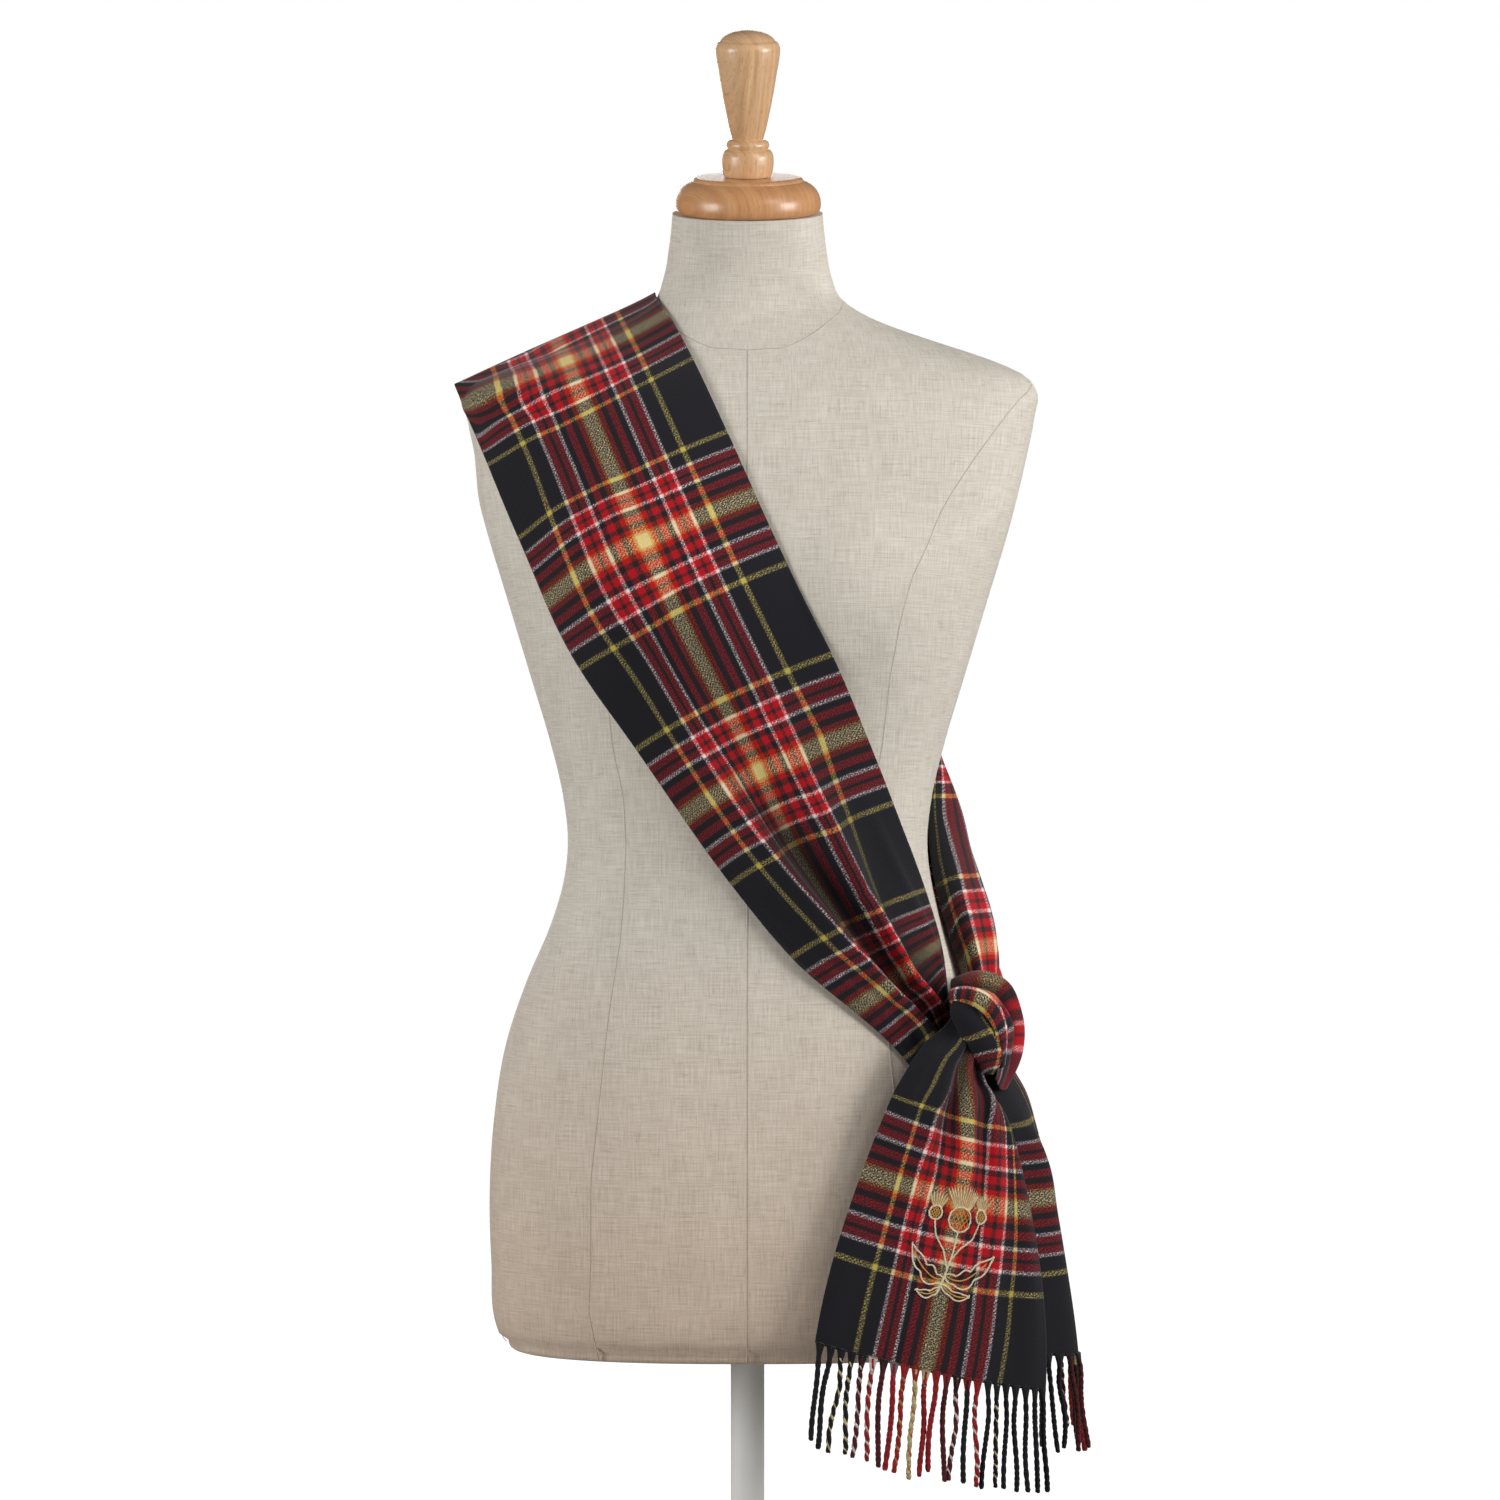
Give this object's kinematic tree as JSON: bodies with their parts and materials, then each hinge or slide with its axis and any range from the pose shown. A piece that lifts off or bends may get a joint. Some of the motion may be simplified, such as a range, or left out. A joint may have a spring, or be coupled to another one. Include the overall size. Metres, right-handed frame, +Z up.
{
  "type": "tartan sash on a dress form",
  "caption": "Tartan wool sash worn over the shoulder of a limbless linen dress form and knotted at the hip, with fringed tails, on a round stand.",
  "frame": {"origin": "centre of the stand's base, on its underside", "axes": "+Z up, -Y the way the form faces, +X towards the hip with the knot, the form's own left"},
  "size_m": [0.4209, 0.28, 0.9989],
  "materials": {
    "tartan_wool": "brushed woollen twill in tartan",
    "fringe_yarn": "two-ply twisted wool strands in the tartan's colours",
    "linen": "slubby natural linen, plain weave",
    "beech": "turned and satin varnished",
    "stand_paint": "white powder coat"
  },
  "bodies": {
    "root": {"torso": "linen", "neck_cap": "beech", "finial": "beech", "stand_pole": "stand_paint", "stand_base": "stand_paint", "sash_front_stretch": "tartan_wool", "sash_back_stretch": "tartan_wool", "knot_core": "tartan_wool", "knot_wrap": "tartan_wool", "knot_edge": "tartan_wool", "front_tail": "tartan_wool", "back_tail": "tartan_wool", "front_fringe": "fringe_yarn", "back_fringe": "fringe_yarn"}
  },
  "joints": []
}
